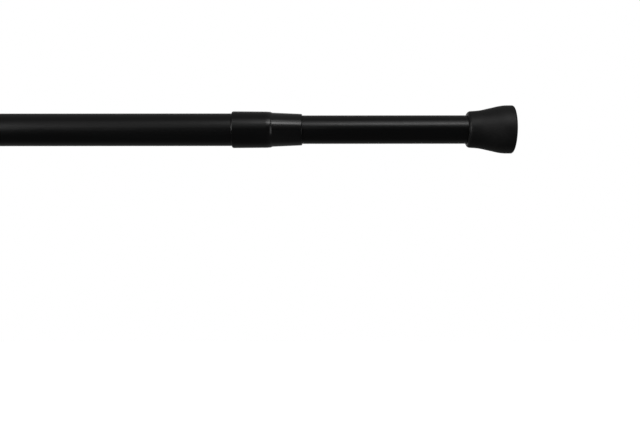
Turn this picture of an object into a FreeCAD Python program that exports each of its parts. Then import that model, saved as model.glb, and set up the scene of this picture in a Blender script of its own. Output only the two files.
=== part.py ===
import FreeCAD, Part
import math
import os

# Spring tension rod: a thin tube telescopes in a thicker one, and a flared rubber cap on each end
# presses against a wall. Inside the thick tube a split expander grips the bore when the thin tube is
# twisted, and a compression spring between the expander and the thin tube gives the tension.
# Millimetres. The rod lies along +X, and the wall face of the outer cap is at x = 0.

Vector = FreeCAD.Vector

# Tubes
outer_tube_od = 25.4
outer_tube_wall = 0.7
outer_tube_length = 425.0
inner_tube_wall = 0.7
inner_tube_length = 360.3
telescope_gap = 0.9  # radial room between the inner tube and the outer tube's bore
exposed_length = 128.7  # bare inner tube between the collar and the cap, as the rod is drawn out
crimp_depth = 0.5  # rolled groove that holds the guide plug in the inner tube
crimp_width = 3.0
crimp_inset = 8.0

# Reducing collar over the mouth of the outer tube
collar_grip_length = 27.3
collar_wall_back = 1.62
collar_wall_front = 1.4
collar_step_length = 5.9
neck_length = 21.7
neck_wall_back = 2.2
neck_wall_front = 1.17
collar_back_edge = 1.1
collar_step_blend = 5.0
collar_mouth_edge = 1.1
collar_fit = 0.03
neck_clearance = 0.15
mouth_chamfer = 0.2

# Rubber end caps
cap_length = 36.0
cap_floor = 5.0
cap_lip_wall = 3.0
cap_neck_length = 9.5
cap_neck_draft = 0.61  # radius that the neck gains along its length
cap_flare = 4.05  # radius gained from the neck to the band
cap_band_length = 8.55
cap_lip_edge = 2.6
cap_pad_edge = 1.2
cap_neck_blend = 32.0
cap_band_blend = 30.0
cap_fit = 0.03
cap_mouth_chamfer = 0.3
pad_groove_width = 1.2
pad_groove_depth = 0.6
pad_groove_count = 3
pad_groove_pitch = 3.6
pad_centre_radius = 4.2

# Plastic plugs between the tube ends and the caps
plug_flange = 2.0
plug_length = 16.0
plug_wall = 1.6
plug_web = 1.6
plug_fit = 0.05

# Guide plug in the hidden end of the inner tube
guide_flange = 3.0
guide_length = 22.0
guide_clearance = 0.15
guide_edge = 0.4

# Spindle that the inner tube turns
hex_across_flats = 10.0
hex_clearance = 0.1
head_radius = 8.0
head_thickness = 4.0
journal_radius = 4.5
thread_radius = 4.0
seat_gap = 0.1  # between the spindle's shoulders and what they stop
running_clearance = 0.05
spindle_edge = 0.5

# Compression spring and its seats
spring_length = 75.0
spring_wire = 1.6
spring_bore_gap = 1.7
spring_turns = 8
spring_end_turns = 1.25
spring_end_lift = 1.05  # pitch of the closed end turns, in wire diameters
spring_grind = 0.2
washer_thickness = 1.0
washer_rim = 0.6  # how far a seat reaches past the spring's wire
washer_hole_gap = 0.3

# Split expander that grips the outer tube's bore
expander_length = 32.0
expander_ring = 9.0
expander_slits = 4
slit_width = 2.0
taper_length = 12.0
taper_angle = 14.0
taper_neck_wall = 2.4  # the taper's small end, outside the thread
grip_grooves = 6
grip_groove_pitch = 3.0
grip_groove_depth = 0.45
expander_edge = 0.6

# Cone nut that the spindle draws into the expander, and its stop
cone_gap = 0.15
cone_stand_off = 1.5  # from the expander's mouth to the nut's skirt when it is locked
cone_skirt = 6.0
cone_skirt_inset = 1.4
key_clearance = 0.2
key_reach = 8.0
cone_travel = 3.0
cone_travel_room = 0.2
stop_washer_thickness = 1.2
stop_washer_rim = 3.0
screw_radius = 2.0
screw_length = 10.0
screw_head_radius = 3.8
screw_head_height = 2.4
screw_head_edge = 1.2
screw_slot_width = 1.0
screw_slot_depth = 1.1

# Sizes that follow
outer_radius = outer_tube_od / 2
outer_bore = outer_radius - outer_tube_wall
inner_radius = outer_bore - telescope_gap
inner_bore = inner_radius - inner_tube_wall
hex_corner_radius = hex_across_flats / math.sqrt(3)
spring_radius = outer_bore - spring_bore_gap - spring_wire / 2
spring_seat_radius = spring_radius + spring_wire / 2 + washer_rim
taper_slope = math.tan(math.radians(taper_angle))
taper_small = thread_radius + taper_neck_wall
taper_large = taper_small + taper_length * taper_slope

# How much of a side one rounding may take, where the far corner is rounded too and where it is sharp
shared_side = 0.49
whole_side = 0.95

# Places along the rod
outer_tube_start = cap_floor + plug_flange
outer_tube_end = outer_tube_start + outer_tube_length
collar_back = outer_tube_end - collar_grip_length
neck_start = outer_tube_end + collar_step_length
collar_mouth = neck_start + neck_length
inner_pad = collar_mouth + exposed_length + cap_length
inner_tube_end = inner_pad - cap_floor - plug_flange
inner_tube_start = inner_tube_end - inner_tube_length
guide_face = inner_tube_start - guide_flange
guide_end = inner_tube_start + guide_length
head_face = guide_end + seat_gap
spring_right = guide_face - washer_thickness
spring_left = spring_right - spring_length
hex_end = spring_left + seat_gap
expander_back = spring_left - washer_thickness
expander_ring_end = expander_back - expander_ring
expander_mouth = expander_back - expander_length
skirt_right = expander_mouth - cone_stand_off
skirt_left = skirt_right - cone_skirt
spindle_end = skirt_left - cone_travel - cone_travel_room
screw_seat = spindle_end - stop_washer_thickness


def rounded_wire(corners):
    """Closed wire through (x, radius, rounding) corners, each rounded as far as its sides allow."""
    points = [Vector(x, r, 0) for x, r, _ in corners]
    shares = [shared_side if rounding else whole_side for _, _, rounding in corners]
    starts, ends, arcs = [], [], []
    for i, here in enumerate(points):
        rounding = corners[i][2]
        following = (i + 1) % len(points)
        back = points[i - 1] - here
        ahead = points[following] - here
        half = back.getAngle(ahead) / 2
        if rounding == 0:
            starts.append(here)
            ends.append(here)
            arcs.append(None)
            continue
        room = min(back.Length * shares[i - 1], ahead.Length * shares[following])
        cut = min(rounding / math.tan(half), room)
        back.normalize()
        ahead.normalize()
        inward = (back + ahead).normalize()
        reach = cut / math.cos(half) - cut * math.tan(half)
        starts.append(here + back * cut)
        ends.append(here + ahead * cut)
        arcs.append(here + inward * reach)
    edges = []
    for i in range(len(points)):
        if arcs[i] is not None:
            edges.append(Part.Arc(starts[i], arcs[i], ends[i]).toShape())
        following = starts[(i + 1) % len(points)]
        if ends[i].distanceToPoint(following) > 1e-6:
            edges.append(Part.LineSegment(ends[i], following).toShape())
    return Part.Wire(edges)


def turned(corners):
    """Solid turned about the rod's axis from a profile of (x, radius, rounding) corners."""
    face = Part.Face(rounded_wire(corners))
    solid = face.revolve(Vector(0, 0, 0), Vector(1, 0, 0), 360)
    if solid.Volume < 0:
        solid.reverse()
    return solid


def ring(left, right, inside, outside, edge=0):
    """Plain tube or washer, with its outer corners rounded."""
    return turned([(left, inside, 0), (left, outside, edge), (right, outside, edge), (right, inside, 0)])


def rod(left, right, radius, edge=0):
    """Plain round bar, with its corners rounded."""
    return turned([(left, 0, 0), (left, radius, edge), (right, radius, edge), (right, 0, 0)])


def hexagon(left, right, across_flats):
    """Hexagonal bar along the rod."""
    corner = across_flats / math.sqrt(3)
    angles = [math.radians(60 * i) for i in range(7)]
    points = [Vector(left, corner * math.cos(a), corner * math.sin(a)) for a in angles]
    return Part.Face(Part.makePolygon(points)).extrude(Vector(right - left, 0, 0))


def bar(left, right, width, low, high):
    """Flat bar along the rod, centred on Y, from low to high in Z."""
    return Part.makeBox(right - left, width, high - low, Vector(left, -width / 2, low))


def facing_back(shape, origin):
    """Copy of a shape modelled from x = 0, turned end for end and set with that face at origin."""
    placed = shape.copy()
    placed.rotate(Vector(0, 0, 0), Vector(0, 0, 1), 180)
    placed.translate(Vector(origin, 0, 0))
    return placed


def outer_tube():
    return ring(outer_tube_start, outer_tube_end, outer_bore, outer_radius)


def inner_tube():
    """Thin tube with a rolled crimp near its hidden end."""
    crimp_start = inner_tube_start + crimp_inset
    crimp_end = crimp_start + crimp_width

    def wall_line(radius):
        return [
            (inner_tube_start, radius, 0),
            (crimp_start, radius, crimp_depth),
            (crimp_start + crimp_depth, radius - crimp_depth, crimp_depth),
            (crimp_end - crimp_depth, radius - crimp_depth, crimp_depth),
            (crimp_end, radius, crimp_depth),
            (inner_tube_end, radius, 0),
        ]

    return turned(wall_line(inner_radius) + wall_line(inner_bore)[::-1])


def reducing_collar():
    """Sleeve on the outer tube that steps down to a tapered neck round the inner tube."""
    grip = outer_radius + collar_fit
    throat = inner_radius + neck_clearance
    return turned([
        (collar_back, grip, 0),
        (collar_back, outer_radius + collar_wall_back, collar_back_edge),
        (outer_tube_end, outer_radius + collar_wall_front, collar_step_blend),
        (neck_start, inner_radius + neck_wall_back, collar_step_blend),
        (collar_mouth, inner_radius + neck_wall_front, collar_mouth_edge),
        (collar_mouth, throat + mouth_chamfer, 0),
        (collar_mouth - mouth_chamfer, throat, 0),
        (outer_tube_end, throat, 0),
        (outer_tube_end, grip, 0),
    ])


def end_cap(tube_radius):
    """Flared rubber cap with its wall face at x = 0, bored for a tube of that radius."""
    socket = tube_radius + cap_fit
    lip = tube_radius + cap_lip_wall
    neck = lip + cap_neck_draft
    band = neck + cap_flare
    face = [(0, 0, 0)]
    for i in range(pad_groove_count):
        inside = pad_centre_radius + i * pad_groove_pitch
        outside = inside + pad_groove_width
        face += [(0, inside, 0), (pad_groove_depth, inside, 0)]
        face += [(pad_groove_depth, outside, 0), (0, outside, 0)]
    return turned(face + [
        (0, band, cap_pad_edge),
        (cap_band_length, band, cap_band_blend),
        (cap_length - cap_neck_length, neck, cap_neck_blend),
        (cap_length, lip, cap_lip_edge),
        (cap_length, socket + cap_mouth_chamfer, 0),
        (cap_length - cap_mouth_chamfer, socket, 0),
        (cap_floor, socket, 0),
        (cap_floor, 0, 0),
    ])


def tube_plug(tube_radius, tube_bore):
    """Cup with a cross web that stiffens it, its flange against the cap's floor at x = cap_floor."""
    body = tube_bore - plug_fit
    hollow = body - plug_wall
    floor = cap_floor + plug_flange
    mouth = floor + plug_length
    cup = turned([
        (cap_floor, 0, 0),
        (cap_floor, tube_radius, 0),
        (floor, tube_radius, 0),
        (floor, body, 0),
        (mouth, body, plug_wall / 2),
        (mouth, hollow, 0),
        (floor, hollow, 0),
        (floor, 0, 0),
    ])
    reach = hollow + plug_wall / 2
    upright = bar(floor, mouth - plug_wall, plug_web, -reach, reach)
    level = upright.copy()
    level.rotate(Vector(0, 0, 0), Vector(1, 0, 0), 90)
    return cup.fuse([upright, level]).removeSplitter()


def guide_plug():
    """Bush in the inner tube that slides in the outer one and turns the spindle by its hexagonal hole."""
    barrel = inner_bore - plug_fit
    crimp_start = inner_tube_start + crimp_inset
    crimp_end = crimp_start + crimp_width
    body = turned([
        (guide_face, 0, 0),
        (guide_face, outer_bore - guide_clearance, guide_edge),
        (inner_tube_start, outer_bore - guide_clearance, guide_edge),
        (inner_tube_start, barrel, 0),
        (crimp_start, barrel, crimp_depth),
        (crimp_start + crimp_depth, barrel - crimp_depth, crimp_depth),
        (crimp_end - crimp_depth, barrel - crimp_depth, crimp_depth),
        (crimp_end, barrel, crimp_depth),
        (guide_end, barrel, guide_edge),
        (guide_end, 0, 0),
    ])
    hole_flats = hex_across_flats + 2 * hex_clearance
    hole = hexagon(guide_face - guide_flange, guide_end + guide_flange, hole_flats)
    return body.cut(hole)


def lock_spindle():
    """Headed hexagonal shank, then a round journal and the stretch that carries the thread."""
    head = rod(head_face, head_face + head_thickness, head_radius, spindle_edge)
    shank = hexagon(hex_end, head_face, hex_across_flats)
    journal = rod(expander_ring_end, hex_end, journal_radius)
    thread = rod(spindle_end, expander_ring_end, thread_radius, spindle_edge)
    screw_hole = rod(screw_seat, spindle_end + screw_length, screw_radius + running_clearance)
    return head.fuse([shank, journal, thread]).removeSplitter().cut(screw_hole)


def winding(turns, pitch, start, turns_before):
    """Helix of the spring's wire about Z, from start up, beginning after that many turns."""
    helix = Part.makeHelix(pitch, turns * pitch, spring_radius)
    helix.rotate(Vector(0, 0, 0), Vector(0, 0, 1), 360 * turns_before)
    helix.translate(Vector(0, 0, start))
    return helix.Edges


def compression_spring():
    """Spring with closed end turns, both ground flat."""
    end_pitch = spring_wire * spring_end_lift
    end_height = spring_end_turns * end_pitch
    middle_height = spring_length + 2 * (spring_grind - end_height)
    middle_start = end_height - spring_grind
    path = winding(spring_end_turns, end_pitch, -spring_grind, 0)
    path += winding(spring_turns, middle_height / spring_turns, middle_start, spring_end_turns)
    path += winding(
        spring_end_turns, end_pitch, middle_start + middle_height, spring_end_turns + spring_turns
    )
    section = Part.Circle(Vector(spring_radius, 0, -spring_grind), Vector(0, 1, 0), spring_wire / 2)
    wound = Part.Wire(path).makePipeShell([Part.Wire(section.toShape())], True, True)
    wound.rotate(Vector(0, 0, 0), Vector(0, 1, 0), 90)
    wound.translate(Vector(spring_left, 0, 0))
    reach = spring_radius + spring_wire
    left_waste = rod(spring_left - 2 * spring_wire, spring_left, reach)
    right_waste = rod(spring_right, spring_right + 2 * spring_wire, reach)
    return wound.cut([left_waste, right_waste])


def spring_washer():
    """Seat between the spring and the guide plug, loose over the hexagonal shank."""
    return ring(spring_right, guide_face, hex_corner_radius + washer_hole_gap, spring_seat_radius)


def thrust_washer():
    """Seat between the spring and the expander, on the spindle's journal."""
    return ring(expander_back, spring_left, journal_radius + washer_hole_gap, spring_seat_radius)


def split_expander():
    """Slotted sleeve whose fingers the cone spreads against the outer tube's bore."""
    outside = outer_bore - running_clearance
    taper_end = expander_mouth + taper_length
    profile = [
        (expander_back, journal_radius + running_clearance, 0),
        (expander_back, outside, expander_edge),
    ]
    for i in range(grip_grooves):
        middle = expander_ring_end - (i + 0.5) * grip_groove_pitch
        profile += [
            (middle + grip_groove_depth, outside, 0),
            (middle, outside - grip_groove_depth, 0),
            (middle - grip_groove_depth, outside, 0),
        ]
    profile += [
        (expander_mouth, outside, expander_edge),
        (expander_mouth, taper_large, 0),
        (taper_end, taper_small, 0),
        (expander_ring_end, taper_small, 0),
        (expander_ring_end, journal_radius + running_clearance, 0),
    ]
    sleeve = turned(profile)
    for i in range(expander_slits):
        slit = bar(expander_mouth - slit_width, expander_ring_end, slit_width, 0, outer_radius)
        slit.rotate(Vector(0, 0, 0), Vector(1, 0, 0), 360 * i / expander_slits)
        sleeve = sleeve.cut(slit)
    return sleeve


def cone_nut():
    """Wedge nut with a skirt, and keys that run in the expander's slits so that it can't turn."""
    bore = thread_radius + running_clearance
    skirt = outer_bore - cone_skirt_inset
    cone_base = taper_large + cone_stand_off * taper_slope - cone_gap
    cone_length = taper_length + cone_stand_off - cone_travel
    cone_tip = cone_base - cone_length * taper_slope
    nut = turned([
        (skirt_left, bore, 0),
        (skirt_left, skirt, spindle_edge),
        (skirt_right, skirt, spindle_edge),
        (skirt_right, cone_base, 0),
        (skirt_right + cone_length, cone_tip, 0),
        (skirt_right + cone_length, bore, 0),
    ])
    key_width = slit_width - 2 * key_clearance
    key_root = skirt_right - spindle_edge
    for i in range(expander_slits):
        key = bar(key_root, expander_mouth + key_reach, key_width, bore + spindle_edge, skirt)
        key.rotate(Vector(0, 0, 0), Vector(1, 0, 0), 360 * i / expander_slits)
        nut = nut.fuse(key)
    return nut.removeSplitter()


def stop_washer():
    return ring(screw_seat, spindle_end, screw_radius + washer_hole_gap, thread_radius + stop_washer_rim)


def stop_screw():
    """Slotted screw in the spindle's end."""
    head_top = screw_seat - screw_head_height
    screw = turned([
        (head_top, 0, 0),
        (head_top, screw_head_radius, screw_head_edge),
        (screw_seat, screw_head_radius, 0),
        (screw_seat, screw_radius, 0),
        (spindle_end + screw_length - seat_gap, screw_radius, spindle_edge),
        (spindle_end + screw_length - seat_gap, 0, 0),
    ])
    slot = bar(
        head_top - screw_slot_depth, head_top + screw_slot_depth, screw_slot_width,
        -2 * screw_head_radius, 2 * screw_head_radius,
    )
    return screw.cut(slot)


pieces = {
    "outer_tube": outer_tube(),
    "outer_tube_plug": tube_plug(outer_radius, outer_bore),
    "outer_end_cap": end_cap(outer_radius),
    "reducing_collar": reducing_collar(),
    "split_expander": split_expander(),
    "thrust_washer": thrust_washer(),
    "cone_nut": cone_nut(),
    "lock_spindle": lock_spindle(),
    "stop_washer": stop_washer(),
    "stop_screw": stop_screw(),
    "compression_spring": compression_spring(),
    "spring_washer": spring_washer(),
    "guide_plug": guide_plug(),
    "inner_tube": inner_tube(),
    "inner_tube_plug": facing_back(tube_plug(inner_radius, inner_bore), inner_pad),
    "inner_end_cap": facing_back(end_cap(inner_radius), inner_pad),
}

os.makedirs("parts", exist_ok=True)
for name, shape in pieces.items():
    shape.exportStep(f"parts/{name}.step")
    print(name, "solids", len(shape.Solids), "valid", shape.isValid(), "volume", round(shape.Volume, 2))
print("length at rest", round(inner_pad, 2), "collar mouth", round(collar_mouth, 2))
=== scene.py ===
import bmesh
import bpy
import math
from mathutils import Matrix, Vector


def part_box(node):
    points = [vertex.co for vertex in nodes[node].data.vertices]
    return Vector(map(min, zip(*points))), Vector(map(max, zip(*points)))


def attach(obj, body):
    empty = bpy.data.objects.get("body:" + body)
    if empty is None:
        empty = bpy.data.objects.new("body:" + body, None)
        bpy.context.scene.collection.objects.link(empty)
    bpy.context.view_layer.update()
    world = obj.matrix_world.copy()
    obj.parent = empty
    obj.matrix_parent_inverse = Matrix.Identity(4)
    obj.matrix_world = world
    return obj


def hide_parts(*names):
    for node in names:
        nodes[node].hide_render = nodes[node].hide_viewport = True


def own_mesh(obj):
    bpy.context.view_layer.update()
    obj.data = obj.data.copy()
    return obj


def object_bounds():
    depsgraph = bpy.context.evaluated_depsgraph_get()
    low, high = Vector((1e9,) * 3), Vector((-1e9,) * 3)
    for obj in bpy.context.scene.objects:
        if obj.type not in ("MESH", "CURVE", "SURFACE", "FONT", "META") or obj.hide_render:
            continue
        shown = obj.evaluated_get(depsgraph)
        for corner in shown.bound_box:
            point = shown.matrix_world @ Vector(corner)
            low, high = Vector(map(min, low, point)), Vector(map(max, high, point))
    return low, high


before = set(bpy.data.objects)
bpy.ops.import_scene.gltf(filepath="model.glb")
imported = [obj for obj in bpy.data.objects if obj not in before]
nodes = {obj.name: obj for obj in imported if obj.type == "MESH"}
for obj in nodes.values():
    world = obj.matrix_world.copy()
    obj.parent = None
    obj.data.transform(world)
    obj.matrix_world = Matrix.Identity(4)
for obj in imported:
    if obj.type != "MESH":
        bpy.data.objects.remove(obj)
cadLow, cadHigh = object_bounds()
mm = 0.001  # sizes are written in millimetres, the scene is in metres
weldGap = 1e-7  # points nearer than this, in metres, are one point


def ends(node):
    # where a CAD node starts and ends along the rod, in millimetres
    low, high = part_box(node)
    return low.x / mm, high.x / mm


class Wire:
    # an output socket: sums and products of wires add Math nodes
    def __init__(self, tree, socket=None):  # without a socket it only makes the first node
        self.tree = tree
        self.socket = socket

    def node(self, kind, settings=None, sockets=None, out=0):
        made = self.tree.nodes.new(kind)
        for key, value in (settings or {}).items():
            setattr(made, key, value)
        for key, value in (sockets or {}).items():
            if isinstance(value, Wire):
                value.into(made.inputs[key])
            else:
                made.inputs[key].default_value = value
        return Wire(self.tree, made.outputs[out])

    def into(self, socket):
        self.tree.links.new(self.socket, socket)

    def calc(self, operation, first, second):
        return self.node("ShaderNodeMath", {"operation": operation}, {0: first, 1: second})

    def __add__(self, other):
        return self.calc("ADD", self, other)

    def __radd__(self, other):
        return self.calc("ADD", other, self)

    def __sub__(self, other):
        return self.calc("SUBTRACT", self, other)

    def __rsub__(self, other):
        return self.calc("SUBTRACT", other, self)

    def __mul__(self, other):
        return self.calc("MULTIPLY", self, other)

    def __rmul__(self, other):
        return self.calc("MULTIPLY", other, self)

    def __abs__(self):
        return self.calc("ABSOLUTE", self, 0.0)

    def outputs(self, *names):
        # the named outputs of this wire's node
        return [Wire(self.tree, self.socket.node.outputs[name]) for name in names]

    def axes(self):
        return self.node("ShaderNodeSeparateXYZ", None, {"Vector": self}).outputs("X", "Y", "Z")

    def noise(self, scale, detail, roughness, stretch=(1, 1, 1)):
        at = self.node("ShaderNodeMapping", None, {"Vector": self, "Scale": stretch})
        return self.node("ShaderNodeTexNoise", None,
                         {"Vector": at, "Scale": scale, "Detail": detail, "Roughness": roughness})

    def swing(self, amount):
        # noise swings about a half, and this about zero
        return amount * (self - 0.5)

    def fade(self, start, end, low=0.0, high=1.0):
        return self.node("ShaderNodeMapRange", {"interpolation_type": "SMOOTHSTEP"},
                         {"Value": self, "From Min": start, "From Max": end, "To Min": low, "To Max": high})

    def tint(self, first, second):
        # the colour sockets of a Mix node go by number, because its names repeat
        return self.node("ShaderNodeMix", {"data_type": "RGBA"}, {0: self, 6: first, 7: second}, 2)

    def bump(self):
        # heights are in metres
        return self.node("ShaderNodeBump", None, {"Distance": 1.0, "Height": self})


def newMaterial(name):
    made = bpy.data.materials.new(name)
    made.use_nodes = True
    tree = made.node_tree
    place = Wire(tree).node("ShaderNodeTexCoord", out="Object")
    return made, tree.nodes["Principled BSDF"], place


def feed(surface, color, roughness, normal, fixed=None):
    # what varies over a surface, and the values that are the same all over it
    for name, wire in (("Base Color", color), ("Roughness", roughness), ("Normal", normal)):
        wire.into(surface.inputs[name])
    for name, value in (fixed or {}).items():
        surface.inputs[name].default_value = value


# black powder coat on the two tubes, rubbed lengthwise where they slide
coat = {
    "dark": (0.0007, 0.0007, 0.0008, 1), "light": (0.0016, 0.0016, 0.0017, 1), "specular": 0.32,
    "rubbed": (0.0060, 0.0059, 0.0058, 1), "rubReach": 70 * mm, "rubFar": 0.35,
    "outerScuff": 0.25, "innerScuff": 1.0,
    "roughness": 0.30, "cloudSpread": 0.07, "streakSpread": 0.06, "rubSpread": 0.10,
    "peel": {"scale": 620, "detail": 2, "roughness": 0.45}, "peelHeight": 0.018 * mm,
    "grain": {"scale": 2600, "detail": 1, "roughness": 0.5}, "grainHeight": 0.004 * mm,
    "cloud": {"scale": 26, "detail": 3, "roughness": 0.55, "stretch": (0.35, 1, 1)},
    "streak": {"scale": 900, "detail": 2, "roughness": 0.6, "stretch": (0.006, 1, 1)},
    "rubClouds": (0.40, 0.62), "rubStreaks": (0.58, 0.74),
    "seamWidth": 0.9 * mm, "seamHeight": 0.03 * mm, "seamStart": 4 * mm,
}


def powderCoat(name, scuff):
    c = coat
    made, surface, place = newMaterial(name)
    along, side, height = place.axes()
    peel = place.noise(**c["peel"])
    grain = place.noise(**c["grain"])
    cloud = place.noise(**c["cloud"])
    streak = place.noise(**c["streak"])  # drawn out along the tube
    mouth = ends("reducing_collar")[1] * mm
    slid = along.fade(mouth, mouth + c["rubReach"], 1.0, c["rubFar"])  # most at the collar's mouth
    rubbed = streak.fade(*c["rubStreaks"]) * cloud.fade(*c["rubClouds"]) * slid * scuff
    back = side.fade(0.0, c["seamStart"])
    seam = abs(height).fade(0.0, c["seamWidth"], 1.0, 0.0) * back  # the weld, under the coat
    heights = peel * c["peelHeight"] + grain * c["grainHeight"] + seam * c["seamHeight"]
    feed(surface, color=rubbed.tint(cloud.tint(c["dark"], c["light"]), c["rubbed"]),
         roughness=c["roughness"] + cloud.swing(c["cloudSpread"]) + streak.swing(c["streakSpread"])
         + c["rubSpread"] * rubbed,
         normal=heights.bump(), fixed={"Specular IOR Level": c["specular"]})
    return made


# moulded black plastic of the collar, glossy on the neck, with edges worn smooth by handling
mould = {
    "dark": (0.0009, 0.0009, 0.0010, 1), "light": (0.0022, 0.0022, 0.0023, 1), "specular": 0.32,
    "cloudTint": 0.8, "partingTint": 0.4,
    "roughness": 0.29, "roughnessSpread": 0.06, "edgePolish": 0.05, "edgeReach": 1.6 * mm,
    "gloss": 0.45, "glossRoughness": 0.07, "mouthGloss": 0.6,
    "glossStart": -1.0 * mm, "glossFull": 4.0 * mm,  # from the outer tube's end
    "cloud": {"scale": 60, "detail": 3, "roughness": 0.6},
    "grain": {"scale": 1900, "detail": 2, "roughness": 0.55}, "grainHeight": 0.005 * mm,
    "wave": {"scale": 160, "detail": 1, "roughness": 0.4, "stretch": (0.5, 1, 1)},
    "waveHeight": 0.03 * mm,
    "partingWidth": 0.22 * mm, "partingHeight": 0.04 * mm, "partingSpread": 0.08,
}


def mouldedPlastic(name):
    m = mould
    made, surface, place = newMaterial(name)
    along, side = place.axes()[:2]
    grain = place.noise(**m["grain"])
    wave = place.noise(**m["wave"])
    cloud = place.noise(**m["cloud"])
    parting = abs(side).fade(0.0, m["partingWidth"], 1.0, 0.0)  # along the top and the underside
    back, mouth = [x * mm for x in ends("reducing_collar")]
    edge = along.calc("MINIMUM", along - back, mouth - along).fade(0.0, m["edgeReach"], 1.0, 0.0)
    shoulder = ends("outer_tube")[1] * mm
    neck = along.fade(shoulder + m["glossStart"], shoulder + m["glossFull"], 0.0, m["gloss"])
    worn = along.fade(shoulder + m["glossFull"], mouth, 1.0, m["mouthGloss"])  # duller towards the mouth
    gloss = neck * worn * (1.0 - edge)
    gloss.into(surface.inputs["Coat Weight"])
    heights = grain * m["grainHeight"] + wave * m["waveHeight"] + parting * m["partingHeight"]
    shade = cloud * m["cloudTint"] + parting * m["partingTint"]
    feed(surface, color=shade.tint(m["dark"], m["light"]),
         roughness=m["roughness"] + cloud.swing(m["roughnessSpread"]) + grain.swing(m["roughnessSpread"])
         + m["partingSpread"] * parting - m["edgePolish"] * edge,
         normal=heights.bump(),
         fixed={"Specular IOR Level": m["specular"], "Coat Roughness": m["glossRoughness"]})
    return made


# matt black rubber of the end caps, with dust held in the rings of the pads
rubber = {
    "dark": (0.0036, 0.0036, 0.0037, 1), "light": (0.0064, 0.0063, 0.0063, 1), "specular": 0.25,
    "dust": (0.018, 0.0175, 0.0170, 1), "speckDust": 0.5, "ringDust": 0.25, "ringBloom": 0.5,
    "roughness": 0.50, "roughnessSpread": 0.10, "grainSpread": 0.06, "padPolish": 0.06,
    "cloud": {"scale": 75, "detail": 4, "roughness": 0.62}, "bloomClouds": (0.35, 0.75),
    "speck": {"scale": 2400, "detail": 1, "roughness": 0.5}, "speckPeaks": (0.70, 0.78),
    "grain": {"scale": 1500, "detail": 2, "roughness": 0.6}, "grainHeight": 0.016 * mm,
    "ripple": {"scale": 210, "detail": 1, "roughness": 0.4}, "rippleHeight": 0.04 * mm,
    "partingWidth": 0.25 * mm, "partingHeight": 0.05 * mm,
    "ringRadius": 13.4 * mm, "ringFade": 0.8 * mm,
    "padDepth": 0.3 * mm, "ringDepth": 0.55 * mm, "wallStart": 2.0 * mm,  # from the wall face
}


def mattRubber(name):
    r = rubber
    made, surface, place = newMaterial(name)
    along, side, height = place.axes()
    grain = place.noise(**r["grain"])
    ripple = place.noise(**r["ripple"])
    cloud = place.noise(**r["cloud"])
    speck = place.noise(**r["speck"]).fade(*r["speckPeaks"])
    depth = along.calc("MINIMUM", along, cadHigh.x - along)  # behind the nearer of the two wall faces
    pad = depth.fade(0.0, r["padDepth"], 1.0, 0.0)
    spread = side * side + height * height
    ringed = spread.fade((r["ringRadius"] - r["ringFade"]) ** 2, r["ringRadius"] ** 2, 1.0, 0.0)
    rings = depth.fade(r["padDepth"], r["ringDepth"]) * ringed
    parting = abs(side).fade(0.0, r["partingWidth"], 1.0, 0.0) * depth.fade(r["ringDepth"], r["wallStart"])
    bloom = cloud.fade(*r["bloomClouds"])
    dusty = speck * bloom * r["speckDust"] + rings * (r["ringDust"] + r["ringBloom"] * bloom)
    heights = grain * r["grainHeight"] + ripple * r["rippleHeight"] + parting * r["partingHeight"]
    feed(surface, color=dusty.tint(bloom.tint(r["dark"], r["light"]), r["dust"]),
         roughness=r["roughness"] + cloud.swing(r["roughnessSpread"]) + grain.swing(r["grainSpread"])
         - r["padPolish"] * pad,
         normal=heights.bump(), fixed={"Specular IOR Level": r["specular"]})
    return made


# off-white nylon of the plugs, the guide and the lock
nylon = {
    "pale": (0.74, 0.72, 0.66, 1), "deep": (0.62, 0.59, 0.52, 1), "roughness": 0.42,
    "cloud": {"scale": 90, "detail": 3, "roughness": 0.6}, "cloudSpread": 0.12,
    "grain": {"scale": 1700, "detail": 2, "roughness": 0.55}, "grainSpread": 0.05,
    "grainHeight": 0.004 * mm,
}


def mouldedNylon(name):
    n = nylon
    made, surface, place = newMaterial(name)
    grain = place.noise(**n["grain"])
    cloud = place.noise(**n["cloud"])
    feed(surface, color=cloud.tint(n["deep"], n["pale"]),
         roughness=n["roughness"] + cloud.swing(n["cloudSpread"]) + grain.swing(n["grainSpread"]),
         normal=(grain * n["grainHeight"]).bump())
    return made


# bright zinc on the spindle, the washers and the screw, and drawn wire for the spring
zinc = {"pale": (0.66, 0.67, 0.70, 1), "deep": (0.50, 0.50, 0.47, 1), "roughness": 0.30,
        "drawn": (0.05, 1, 1)}
drawnWire = {"pale": (0.40, 0.40, 0.42, 1), "deep": (0.22, 0.21, 0.21, 1), "roughness": 0.34,
             "drawn": (1, 1, 1)}
metal = {
    "cloud": {"scale": 140, "detail": 4, "roughness": 0.6}, "cloudSpread": 0.10, "cloudTint": 0.7,
    "lines": {"scale": 1800, "detail": 2, "roughness": 0.6}, "lineSpread": 0.16, "lineTint": 0.3,
    "lineHeight": 0.003 * mm,
}


def bareMetal(name, finish):
    m = metal
    made, surface, place = newMaterial(name)
    cloud = place.noise(**m["cloud"])
    lines = place.noise(**m["lines"], stretch=finish["drawn"])
    shade = cloud * m["cloudTint"] + lines * m["lineTint"]
    feed(surface, color=shade.tint(finish["deep"], finish["pale"]),
         roughness=finish["roughness"] + lines.swing(m["lineSpread"]) + cloud.swing(m["cloudSpread"]),
         normal=(lines * m["lineHeight"]).bump(), fixed={"Metallic": 1.0})
    return made


finishes = {
    "outerCoat": powderCoat("outerTubeCoat", coat["outerScuff"]),
    "innerCoat": powderCoat("innerTubeCoat", coat["innerScuff"]),
    "plastic": mouldedPlastic("collarPlastic"),
    "rubber": mattRubber("capRubber"),
    "nylon": mouldedNylon("lockNylon"),
    "zinc": bareMetal("brightZinc", zinc),
    "wire": bareMetal("springWire", drawnWire),
}
print("finishes:", len(finishes))


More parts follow.
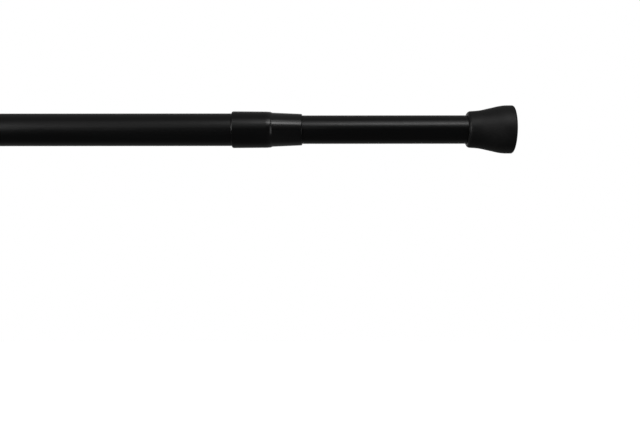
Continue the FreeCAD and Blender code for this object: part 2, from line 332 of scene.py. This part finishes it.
# degrees turned in each step of a rounding, the share of a side that it may take beside a round or a
# sharp corner, and the degrees past which an edge is shaded sharp
rounding = {
    "stepTurn": 5.0, "fewestSteps": 2, "nextToRound": 0.49, "nextToSharp": 0.95, "sharpEdge": 32,
}


def cornerCut(corners, i):
    # how far a rounding reaches along its two sides, and in how many steps it is bent
    here, radius = Vector(corners[i][:2]), corners[i][2]
    following = (i + 1) % len(corners)
    back, ahead = Vector(corners[i - 1][:2]) - here, Vector(corners[following][:2]) - here
    turn = math.pi - back.angle(ahead)
    share = [rounding["nextToRound" if corners[n][2] else "nextToSharp"] for n in (i - 1, following)]
    cut = min(radius * math.tan(turn / 2), back.length * share[0], ahead.length * share[1])
    return cut * mm, max(rounding["fewestSteps"], math.ceil(math.degrees(turn) / rounding["stepTurn"]))


def roundOff(bm, geom, affect, offset, segments):
    bmesh.ops.bevel(bm, geom=geom, offset=offset, offset_type="OFFSET", affect=affect,
                    segments=segments, profile=0.5, material=-1)


def spinRound(bm, geom, turns, steps, pitch=0.0, merge=False):
    # about the rod's axis, going along it by the pitch in each turn
    onward = (pitch * turns / steps * mm, 0, 0)
    return bmesh.ops.spin(bm, geom=geom, cent=(0, 0, 0), axis=(1, 0, 0), dvec=onward,
                          angle=math.tau * turns, steps=steps, use_merge=merge)["geom_last"]


def turnedMesh(corners, steps):
    # closed profile of (x, radius, rounding) corners, rounded and spun about the rod's axis
    bm = bmesh.new()
    points = [bm.verts.new((x * mm, 0, r * mm)) for x, r, _ in corners]
    bm.faces.new(points)
    for i, point in enumerate(points):
        if corners[i][2]:
            roundOff(bm, [point], "VERTICES", *cornerCut(corners, i))
    bmesh.ops.delete(bm, geom=bm.faces[:], context="FACES_ONLY")
    onAxis = [e for e in bm.edges if all(v.co.z < weldGap for v in e.verts)]
    bmesh.ops.delete(bm, geom=onAxis, context="EDGES")
    spinRound(bm, bm.verts[:] + bm.edges[:], 1, steps, merge=True)
    bmesh.ops.remove_doubles(bm, verts=bm.verts[:], dist=weldGap)
    bmesh.ops.recalc_face_normals(bm, faces=bm.faces[:])
    return bm


def finishPiece(bm, name, body, node, material):
    mesh = bpy.data.meshes.new(name)
    for face in bm.faces:
        face.smooth = True
    bm.to_mesh(mesh)
    bm.free()
    mesh.set_sharp_from_angle(angle=math.radians(rounding["sharpEdge"]))
    piece = bpy.data.objects.new(name, mesh)
    bpy.context.scene.collection.objects.link(piece)
    mesh.materials.append(material)
    even = piece.modifiers.new("evenShading", "WEIGHTED_NORMAL")
    even.keep_sharp = True
    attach(piece, body)
    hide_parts(node)
    print("piece:", name, len(mesh.polygons), "faces")
    return piece


# the two tubes, and the crimp rolled into the inner one over its guide plug
tubes = {
    "outerRadius": 12.7, "innerRadius": 11.1, "wall": 0.7, "edge": 0.2,
    "crimpInset": 8.0, "crimpWidth": 3.0, "crimpDepth": 0.5, "steps": 192,
}


def makeTubes():
    t = tubes
    start, end = ends("outer_tube")
    outside, bore = t["outerRadius"], t["outerRadius"] - t["wall"]
    corners = [(start, bore, 0), (start, outside, t["edge"]), (end, outside, t["edge"]), (end, bore, 0)]
    finishPiece(turnedMesh(corners, t["steps"]), "outerTube", "outer_rod", "outer_tube",
                finishes["outerCoat"])
    start, end = ends("inner_tube")
    crimpStart = start + t["crimpInset"]
    crimpEnd = crimpStart + t["crimpWidth"]
    deep = t["crimpDepth"]

    def wallLine(radius, edge):
        return [(start, radius, edge), (crimpStart, radius, deep), (crimpStart + deep, radius - deep, deep),
                (crimpEnd - deep, radius - deep, deep), (crimpEnd, radius, deep), (end, radius, edge)]

    corners = wallLine(t["innerRadius"], t["edge"]) + wallLine(t["innerRadius"] - t["wall"], 0)[::-1]
    finishPiece(turnedMesh(corners, t["steps"]), "innerTube", "inner_rod", "inner_tube",
                finishes["innerCoat"])


# the stepped collar at the mouth of the outer tube
collar = {
    "backRadius": 14.32, "backEdge": 1.1, "shoulderRadius": 14.12, "shoulderBlend": 20.0,
    "stepLead": 2.9, "stepLength": 1.4, "stepRadius": 13.92, "stepBlend": 0.8,
    "neckRadius": 13.3, "mouthRadius": 12.27, "mouthEdge": 1.1,
    "fit": 0.03, "clearance": 0.15, "chamfer": 0.2, "steps": 192,
}


def makeCollar():
    c = collar
    back, mouth = ends("reducing_collar")
    shoulder = ends("outer_tube")[1]
    grip = tubes["outerRadius"] + c["fit"]
    throat = tubes["innerRadius"] + c["clearance"]
    step = shoulder + c["stepLead"]
    corners = [
        (back, grip, 0), (back, c["backRadius"], c["backEdge"]),
        (shoulder, c["shoulderRadius"], c["shoulderBlend"]),
        (step, c["stepRadius"], c["stepBlend"]), (step + c["stepLength"], c["neckRadius"], c["stepBlend"]),
        (mouth, c["mouthRadius"], c["mouthEdge"]), (mouth, throat + c["chamfer"], 0),
        (mouth - c["chamfer"], throat, 0), (shoulder, throat, 0), (shoulder, grip, 0),
    ]
    finishPiece(turnedMesh(corners, c["steps"]), "reducingCollar", "outer_rod", "reducing_collar",
                finishes["plastic"])


# the flared caps, measured from the face that meets the wall
cap = {
    "floor": 5.0, "lipWall": 3.0, "neckLength": 9.5, "neckDraft": 0.61, "flare": 4.05, "bandLength": 8.55,
    "lipEdge": 2.6, "padEdge": 1.2, "neckBlend": 32.0, "bandBlend": 30.0, "fit": 0.03, "chamfer": 0.3,
    "grooveWidth": 1.2, "grooveDepth": 0.6, "grooves": 3, "groovePitch": 3.6, "grooveEdge": 0.15,
    "centre": 4.2, "steps": 192,
}


def capCorners(length, tubeRadius):
    c = cap
    socket = tubeRadius + c["fit"]
    lip = tubeRadius + c["lipWall"]
    neck = lip + c["neckDraft"]
    band = neck + c["flare"]
    corners = [(0, 0, 0)]
    for i in range(c["grooves"]):
        near = c["centre"] + i * c["groovePitch"]
        far = near + c["grooveWidth"]
        corners += [(0, near, c["grooveEdge"]), (c["grooveDepth"], near, c["grooveEdge"]),
                    (c["grooveDepth"], far, c["grooveEdge"]), (0, far, c["grooveEdge"])]
    return corners + [
        (0, band, c["padEdge"]), (c["bandLength"], band, c["bandBlend"]),
        (length - c["neckLength"], neck, c["neckBlend"]), (length, lip, c["lipEdge"]),
        (length, socket + c["chamfer"], 0), (length - c["chamfer"], socket, 0),
        (c["floor"], socket, 0), (c["floor"], 0, 0),
    ]


def makeCaps():
    start, end = ends("outer_end_cap")
    corners = capCorners(end - start, tubes["outerRadius"])
    finishPiece(turnedMesh(corners, cap["steps"]), "outerEndCap", "outer_rod", "outer_end_cap",
                finishes["rubber"])
    start, end = ends("inner_end_cap")
    corners = [(end - x, r, edge) for x, r, edge in capCorners(end - start, tubes["innerRadius"])]
    finishPiece(turnedMesh(corners, cap["steps"]), "innerEndCap", "inner_rod", "inner_end_cap",
                finishes["rubber"])


def newLoop(bm, x, radius, corners, cuts=0):
    # wire loop square to the rod, with one corner towards +Y
    upright = Matrix.Translation((x * mm, 0, 0)) @ Matrix.Rotation(math.radians(90), 4, "Y")
    bmesh.ops.create_circle(bm, segments=corners, radius=radius * mm, matrix=upright)
    if cuts:
        bmesh.ops.subdivide_edges(bm, edges=[e for e in bm.edges if e.is_wire], cuts=cuts)
    return [e for e in bm.edges if e.is_wire]


def onlyEdges(geom):
    return [g for g in geom if isinstance(g, bmesh.types.BMEdge)]


def drawOut(bm, loop, length):
    # a loop drawn along the rod into a wall, and the loop at its far end
    grown = bmesh.ops.extrude_edge_only(bm, edges=loop)["geom"]
    verts = [g for g in grown if isinstance(g, bmesh.types.BMVert)]
    bmesh.ops.translate(bm, verts=verts, vec=(length * mm, 0, 0))
    return [e for e in onlyEdges(grown) if all(v in verts for v in e.verts)]


def cutSquare(bm, x, side):
    # what lies past x is cut away, on the side that is given, and the loop of the cut is left open
    everything = bm.verts[:] + bm.edges[:] + bm.faces[:]
    cut = bmesh.ops.bisect_plane(bm, geom=everything, dist=weldGap, plane_co=(x * mm, 0, 0),
                                 plane_no=(side, 0, 0), clear_outer=True)["geom_cut"]
    return onlyEdges(cut)


# the headed hexagonal spindle with its threaded end
spindle = {
    "threadLength": 33.7, "journalLength": 10.1, "headLength": 4.0,
    "crest": 4.0, "root": 3.1, "pitch": 2.0, "turnsBefore": 2, "turnsOver": 3, "threadWeld": 1e-6,
    "tooth": ((0.0, "root"), (0.3, "root"), (0.5, "crest"), (0.8, "crest")),
    "journal": 4.5, "flats": 10.0, "sides": 6, "flatEdge": 0.25, "flatEdgeSteps": 2, "flatEdgeTurn": 30,
    "head": 8.0, "headEdge": 0.5, "headEdgeSteps": 4,
    "hole": 2.05, "holeDepth": 9.9, "lean": 0.05, "steps": 48,
}


def makeSpindle():
    c = spindle
    end, headEnd = ends("lock_spindle")
    threadEnd = end + c["threadLength"]
    shankStart = threadEnd + c["journalLength"]
    shankLength = headEnd - c["headLength"] - shankStart
    bm = bmesh.new()
    # a row of teeth spun forward by one pitch in a turn, so that each runs on into the next
    first = end - c["turnsBefore"] * c["pitch"]
    count = math.ceil(c["threadLength"] / c["pitch"]) + c["turnsOver"]
    row = [bm.verts.new(((first + (i + along) * c["pitch"]) * mm, 0, c[height] * mm))
           for i in range(count) for along, height in c["tooth"]]
    for near, far in zip(row, row[1:]):
        bm.edges.new((near, far))
    spinRound(bm, bm.verts[:] + bm.edges[:], 1, c["steps"], c["pitch"])
    bmesh.ops.remove_doubles(bm, verts=bm.verts[:], dist=c["threadWeld"])
    leftCut = cutSquare(bm, end, -1)
    rightCut = cutSquare(bm, threadEnd, 1)
    # the hole for the stop screw; the steps lean a little, as loops in one plane may be bridged crosswise
    lean = c["lean"]
    mouth = newLoop(bm, end + lean, c["hole"], c["steps"])
    bmesh.ops.bridge_loops(bm, edges=leftCut + mouth)
    bmesh.ops.contextual_create(bm, geom=drawOut(bm, mouth, c["holeDepth"] - lean))
    # journal, hexagonal shank and head, each stepping out from the one before
    journal = newLoop(bm, threadEnd + lean, c["journal"], c["steps"])
    bmesh.ops.bridge_loops(bm, edges=rightCut + journal)
    shoulder = drawOut(bm, journal, c["journalLength"] - lean)
    cornerRadius = c["flats"] / math.sqrt(3)
    shank = newLoop(bm, shankStart + lean, cornerRadius, c["sides"], c["steps"] // c["sides"] - 1)
    bmesh.ops.bridge_loops(bm, edges=shoulder + shank)
    underHead = drawOut(bm, shank, shankLength - lean)
    head = newLoop(bm, shankStart + shankLength + lean, c["head"], c["steps"])
    bmesh.ops.bridge_loops(bm, edges=underHead + head)
    top = drawOut(bm, head, c["headLength"] - lean)
    bmesh.ops.contextual_create(bm, geom=top)
    roundOff(bm, head + top, "EDGES", c["headEdge"] * mm, c["headEdgeSteps"])
    # the six long edges where two flats meet
    flatEdges = [e for e in bm.edges if e.calc_length() > shankLength / 2 * mm
                 and e.calc_face_angle(0.0) > math.radians(c["flatEdgeTurn"])]
    roundOff(bm, flatEdges, "EDGES", c["flatEdge"] * mm, c["flatEdgeSteps"])
    bmesh.ops.recalc_face_normals(bm, faces=bm.faces[:])
    finishPiece(bm, "lockSpindle", "spindle", "lock_spindle", finishes["zinc"])


# the compression spring, with closed end turns that are ground flat
coil = {
    "radius": 9.5, "wire": 1.6, "turns": 8, "endTurns": 1.25, "endPitch": 1.68, "grind": 0.2,
    "sides": 16, "stepsPerTurn": 48, "stroke": 30.0,
}


def makeSpring():
    c = coil
    left, right = ends("compression_spring")
    bm = bmesh.new()
    level = Matrix.Translation(((left - c["grind"]) * mm, 0, -c["radius"] * mm)) @ Matrix.Rotation(
        math.radians(90), 4, "X")
    bmesh.ops.create_circle(bm, segments=c["sides"], radius=c["wire"] / 2 * mm, matrix=level)
    endTurns = (c["endTurns"], c["endPitch"])
    middleLength = right - left + 2 * (c["grind"] - c["endTurns"] * c["endPitch"])
    start = bm.edges[:]
    section = bm.verts[:] + bm.edges[:]
    for turns, pitch in (endTurns, (c["turns"], middleLength / c["turns"]), endTurns):
        section = spinRound(bm, section, turns, round(turns * c["stepsPerTurn"]), pitch)
    bmesh.ops.contextual_create(bm, geom=start)
    bmesh.ops.contextual_create(bm, geom=onlyEdges(section))
    for x, side in ((left, -1), (right, 1)):
        bmesh.ops.contextual_create(bm, geom=cutSquare(bm, x, side))
    bmesh.ops.recalc_face_normals(bm, faces=bm.faces[:])
    piece = finishPiece(bm, "compressionSpring", "spindle", "compression_spring",
                        finishes["wire"])
    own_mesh(piece)


# the CAD nodes that stay as they are, by finish
dress = {
    "nylon": ("outer_tube_plug", "inner_tube_plug", "guide_plug", "split_expander", "cone_nut"),
    "zinc": ("thrust_washer", "spring_washer", "stop_washer", "stop_screw"),
}


def dressNodes():
    for finish, names in dress.items():
        for name in names:
            for place in nodes[name].material_slots:
                place.material = finishes[finish]
    print("dressed:", sum(len(names) for names in dress.values()), "nodes")


makeTubes()
makeCollar()
makeCaps()
makeSpindle()
makeSpring()
dressNodes()

# camera level with the ground, below the rod and near the collar, as the picture was taken
shot = {
    "x": 0.47345, "y": -0.630, "z": -0.0704, "roll": 0.05,
    "lens": 45.22, "sensor": 36.0, "clip": 0.01,
}


def makeCamera():
    data = bpy.data.cameras.new("camera")
    data.lens = shot["lens"]
    data.sensor_width = shot["sensor"]
    data.clip_start = shot["clip"]
    camera = bpy.data.objects.new("camera", data)
    camera.location = (shot["x"], shot["y"], shot["z"])
    camera.rotation_euler = (math.radians(90), math.radians(shot["roll"]), 0)
    bpy.context.scene.collection.objects.link(camera)
    bpy.context.scene.camera = camera


# softboxes: degrees round and above the middle of the view, metres away and across, watts, and spread
softboxes = {
    # the long highlight and its bright middle
    "key": {"turn": 22, "rise": 46, "away": 1.2, "wide": 0.84, "tall": 0.72,
            "watts": 2.3, "spread": 180},
    "core": {"turn": 22, "rise": 42, "away": 1.19, "wide": 0.84, "tall": 0.22,
             "watts": 2.55, "spread": 180},
    "fill": {"turn": -20, "rise": 30, "away": 1.6, "wide": 0.9, "tall": 1.3,
             "watts": 1.3, "spread": 180},
    # edges that face left and right
    "leftSide": {"turn": -50, "rise": 10, "away": 1.7, "wide": 0.6, "tall": 1.0,
                 "watts": 2.4, "spread": 60},
    "rightSide": {"turn": 56, "rise": -6, "away": 1.7, "wide": 1.0, "tall": 1.4,
                  "watts": 0.7, "spread": 60},
}


def makeLights():
    middle = Vector((shot["x"], 0, 0))
    for name, box in softboxes.items():
        turn, rise = math.radians(box["turn"]), math.radians(box["rise"])
        out = Vector((math.sin(turn) * math.cos(rise), -math.cos(turn) * math.cos(rise), math.sin(rise)))
        data = bpy.data.lights.new(name, "AREA")
        data.shape = "RECTANGLE"
        data.size, data.size_y = box["wide"], box["tall"]
        data.energy = box["watts"]
        data.spread = math.radians(box["spread"])
        lamp = bpy.data.objects.new(name, data)
        lamp.location = middle + out * box["away"]
        lamp.rotation_euler = (-out).to_track_quat("-Z", "Y").to_euler()
        lamp.visible_camera = False
        bpy.context.scene.collection.objects.link(lamp)


# a pale floor far below the rod, in metres, and a room that is dim below and lighter above
stage = {
    "floorDrop": 2.0, "floorSize": 12.0, "floorColor": (0.36, 0.36, 0.36, 1), "floorRoughness": 0.9,
    "floorGlowBehind": 0.09, "behindStart": 0.1, "behindEnd": 1.4,
    "shadowNear": 0.6, "shadowFar": 3.0, "shadowShare": 0.45,  # near and far are squares of distances
    "roomColor": (1, 1, 1, 1), "roomLow": 0.008, "roomHigh": 0.22, "horizon": -0.1,
    "cardStart": 0.76, "cardEnd": 0.94,
}


def seenRays(tree):
    # 1 for the camera, and for reflections and refractions of what it sees
    path = Wire(tree).node("ShaderNodeLightPath")
    return path.outputs("Is Camera Ray", "Is Glossy Ray", "Is Transmission Ray")


def makeFloor():
    s = stage
    bm = bmesh.new()
    bmesh.ops.create_grid(bm, x_segments=1, y_segments=1, size=s["floorSize"])
    bmesh.ops.translate(bm, verts=bm.verts[:], vec=(shot["x"], 0, -s["floorDrop"]))
    mesh = bpy.data.meshes.new("floor")
    bm.to_mesh(mesh)
    bm.free()
    floor = bpy.data.objects.new("floor", mesh)
    bpy.context.scene.collection.objects.link(floor)
    made, surface, place = newMaterial("paleFloor")
    mesh.materials.append(made)
    surface.inputs["Base Color"].default_value = s["floorColor"]
    surface.inputs["Roughness"].default_value = s["floorRoughness"]
    surface.inputs["Emission Strength"].default_value = 1.0
    tree = made.node_tree
    camera, glossy, through = seenRays(tree)
    across, depth = place.axes()[:2]
    fromMiddle = (across - shot["x"]) * (across - shot["x"]) + depth * depth
    near = fromMiddle.fade(s["shadowNear"], s["shadowFar"], s["shadowShare"], 0.0)  # where the shadow falls
    # painted light: for reflections and refractions the floor glows in a band behind the rod, standing in
    # for light falling on the floor there
    behind = depth.fade(s["behindStart"], s["behindEnd"], 0.0, s["floorGlowBehind"])
    lit = camera * (1.0 - near) + (glossy + through) * behind
    lit.into(surface.inputs["Emission Color"])
    # seen from below, the floor is clear
    under = place.node("ShaderNodeNewGeometry", out="Backfacing")
    clear = place.node("ShaderNodeBsdfTransparent")
    whole = place.node("ShaderNodeMixShader", None,
                       {0: under, 1: Wire(tree, surface.outputs["BSDF"]), 2: clear})
    whole.into(tree.nodes["Material Output"].inputs["Surface"])


def makeRoom():
    s = stage
    world = bpy.data.worlds.new("studio")
    world.use_nodes = True
    bpy.context.scene.world = world
    tree = world.node_tree
    camera, glossy, through = seenRays(tree)
    ahead, up = Wire(tree).node("ShaderNodeTexCoord", out="Generated").axes()[1:]
    white = camera + (glossy + through) * ahead.fade(s["cardStart"], s["cardEnd"])  # a card behind the rod
    room = up.fade(s["horizon"], 1.0, s["roomLow"], s["roomHigh"])
    strength = room + (1.0 - room) * white
    background = tree.nodes["Background"]
    background.inputs["Color"].default_value = s["roomColor"]
    strength.into(background.inputs["Strength"])


makeCamera()
makeLights()
makeFloor()
makeRoom()
bpy.context.scene.view_settings.view_transform = "Standard"
print("camera, lights and floor set")
